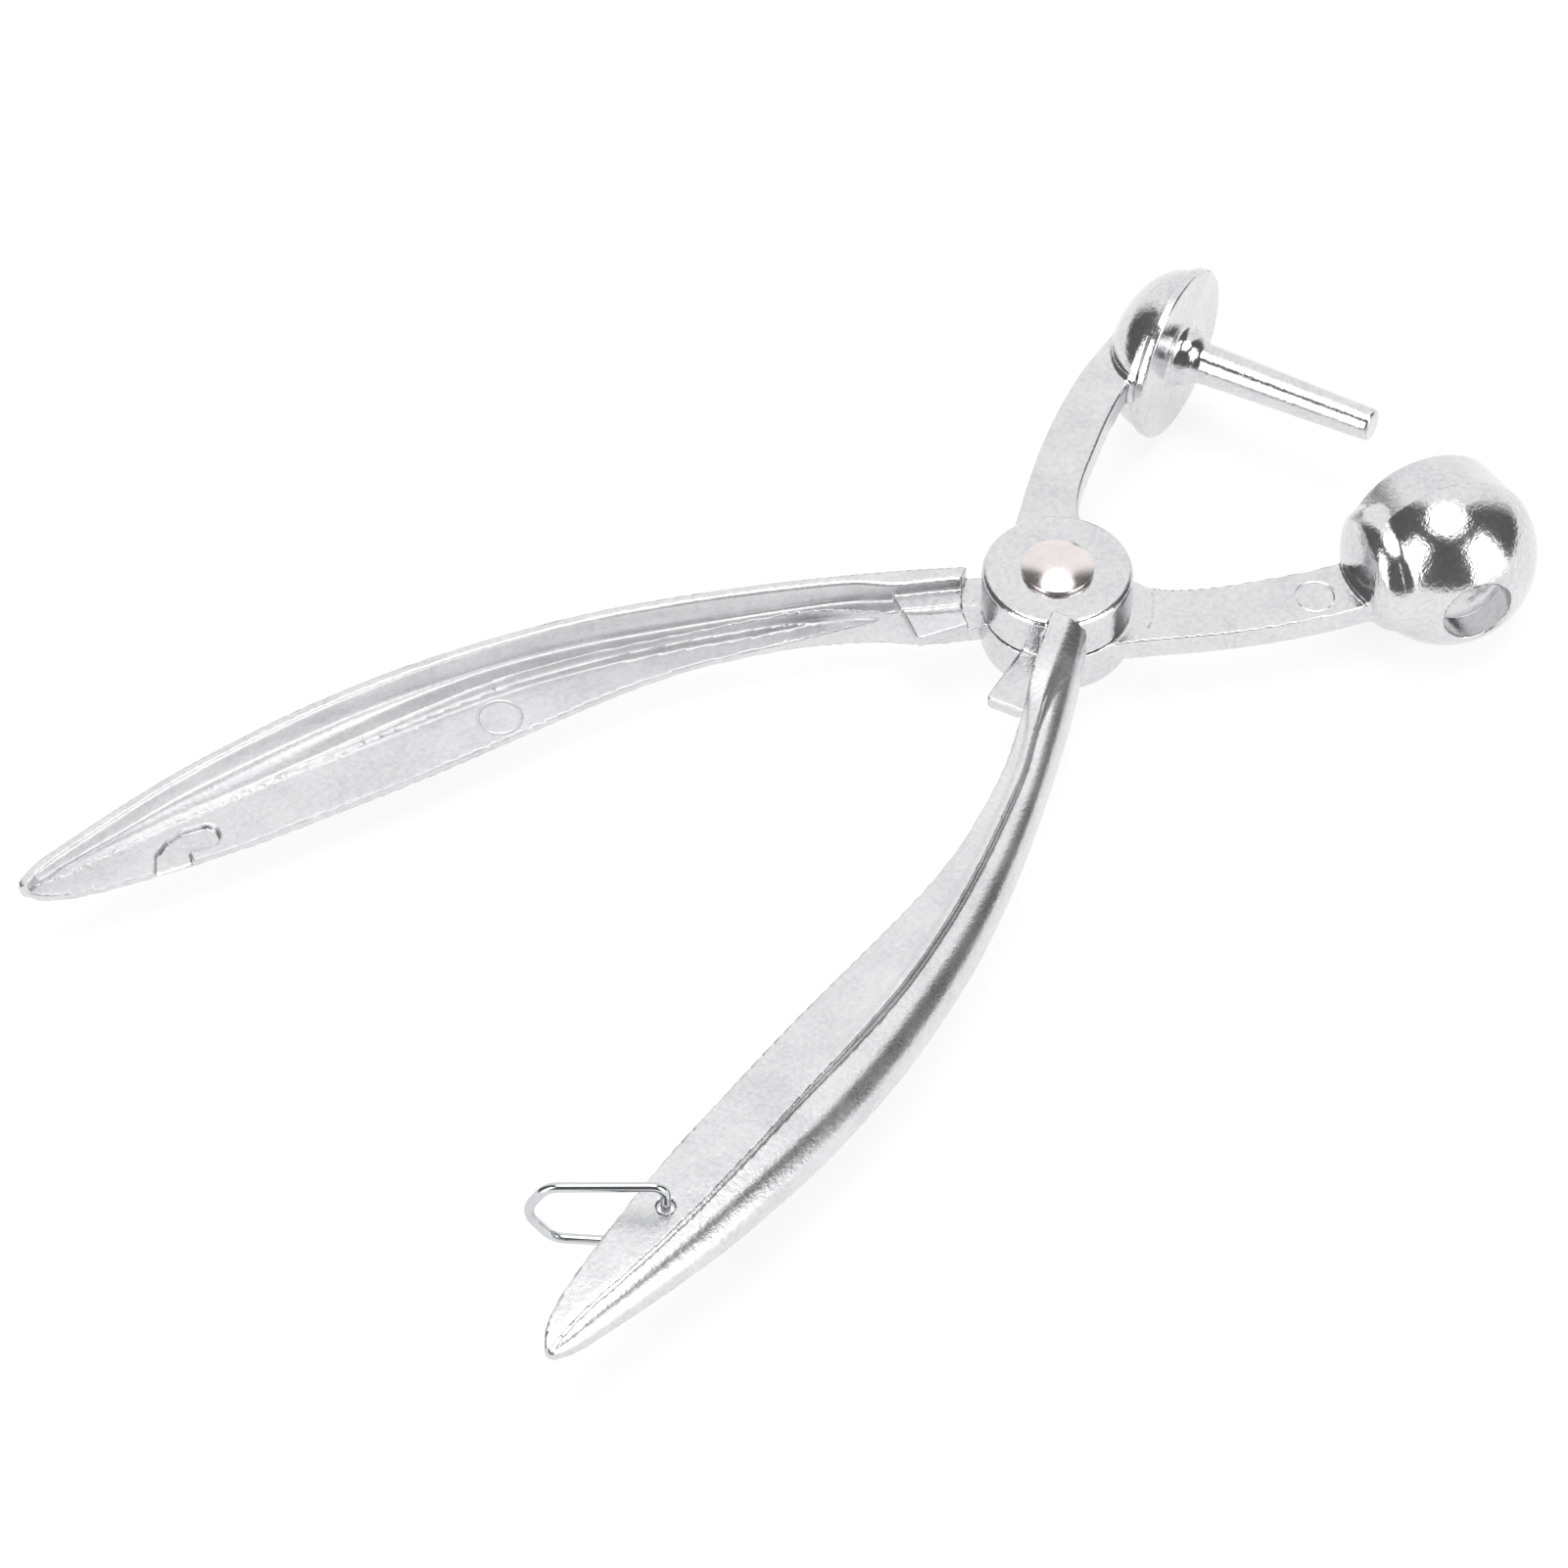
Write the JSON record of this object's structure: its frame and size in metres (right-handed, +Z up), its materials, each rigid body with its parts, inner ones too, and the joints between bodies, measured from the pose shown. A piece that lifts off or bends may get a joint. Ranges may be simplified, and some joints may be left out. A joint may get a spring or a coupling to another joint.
{
  "type": "olive pitter",
  "caption": "Hand-held olive and cherry pitter: two crossed cast levers on a rivet, a punch with a domed disc facing a ball-shaped cup, a coil spring in the hub and a wire bail that keeps the handles shut",
  "frame": {"origin": "centre of the flat underside of the hub, on the pivot axis, where the rivet's closed end lies flush", "axes": "+X from the pivot towards the punch and the cup, along the line halfway between the two handles; +Z up along the pivot axis towards the rivet head; +Y towards the side of the punch arm and of the cup lever's handle"},
  "size_m": [0.1588, 0.0898, 0.0204],
  "materials": {
    "cast_aluminium": "satin die-cast, fine grain",
    "cast_aluminium_cup": "satin die-cast, ball polished",
    "polished_rivet": "polished dome, faint warm tint",
    "spring_steel": "plain drawn spring wire",
    "bright_wire": "bright plated wire"
  },
  "bodies": {
    "cup_side": {"cup_lever": "cast_aluminium_cup", "pivot_rivet": "polished_rivet", "torsion_spring": "spring_steel"},
    "punch_side": {"plunger_lever": "cast_aluminium"},
    "bail": {"latch_bail": "bright_wire"}
  },
  "joints": [
    {"name": "lever_pivot", "type": "hinge", "parent": "cup_side", "child": "punch_side", "pos_m": [0, 0, 0.0055], "axis": [0, 0, -1], "range_deg": [0, 39.5], "stiffness_Nm_per_rad": 0.08, "springref_deg": -85.94, "deforming": ["torsion_spring"]},
    {"name": "bail_swing", "type": "hinge", "parent": "punch_side", "child": "bail", "pos_m": [-0.09011, -0.03845, 0.0095], "axis": [0, 0, 1], "range_deg": [-27, 40]}
  ]
}
